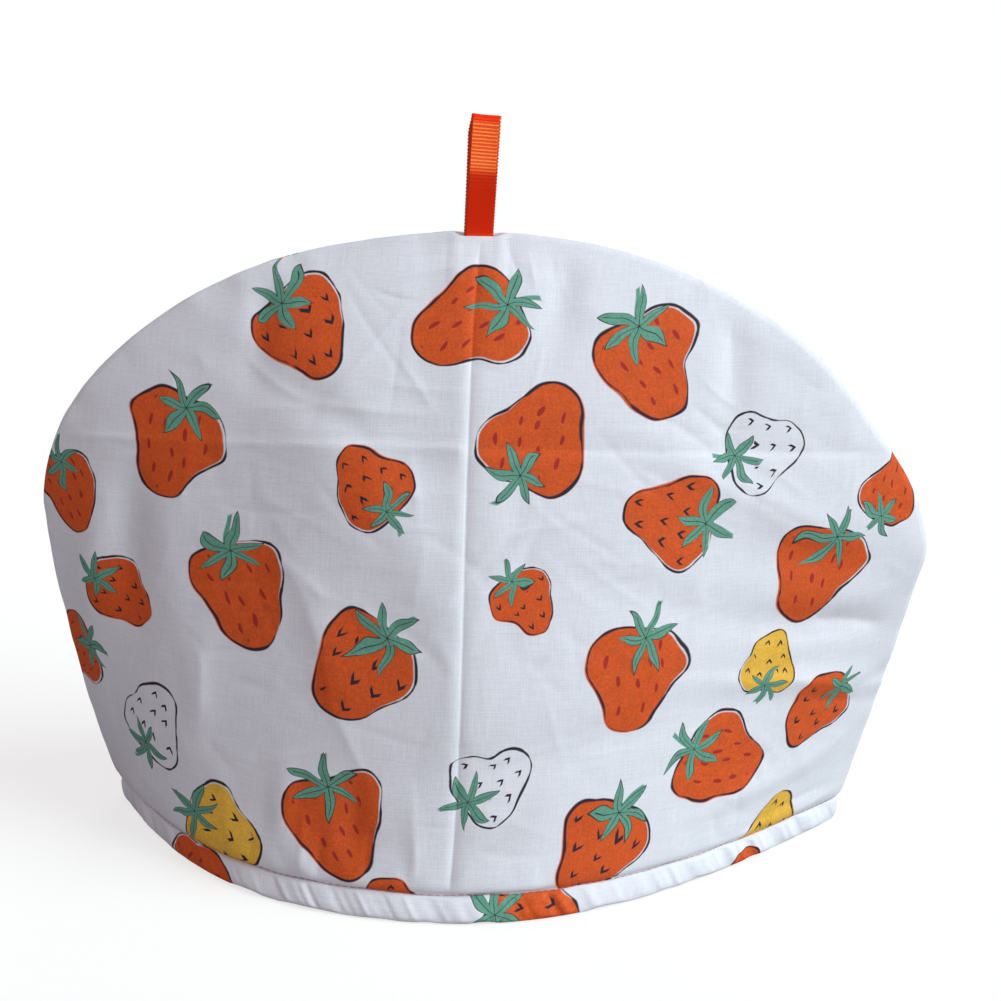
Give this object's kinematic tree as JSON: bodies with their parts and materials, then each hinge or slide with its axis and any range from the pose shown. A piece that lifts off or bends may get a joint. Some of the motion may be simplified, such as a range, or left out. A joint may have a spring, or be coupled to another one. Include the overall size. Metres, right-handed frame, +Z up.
{
  "type": "tea cosy",
  "caption": "Padded dome-shaped tea cosy in berry-printed cotton, with a bound hem that stands open and a ribbon loop at the crown.",
  "frame": {"origin": "on the table, under the middle of the cosy's bounding box, level with the foot of the hem binding", "axes": "+Z up, +X to the right along the arch seam, the front panel towards -Y"},
  "size_m": [0.3458, 0.177, 0.2835],
  "materials": {
    "printed_cotton": "matte plain-weave cotton, printed with berries",
    "ribbon": "ribbed grosgrain with a slight sheen"
  },
  "bodies": {
    "root": {"front_panel": "printed_cotton", "back_panel": "printed_cotton", "hem_binding": "printed_cotton", "hanging_loop": "ribbon"}
  },
  "joints": []
}
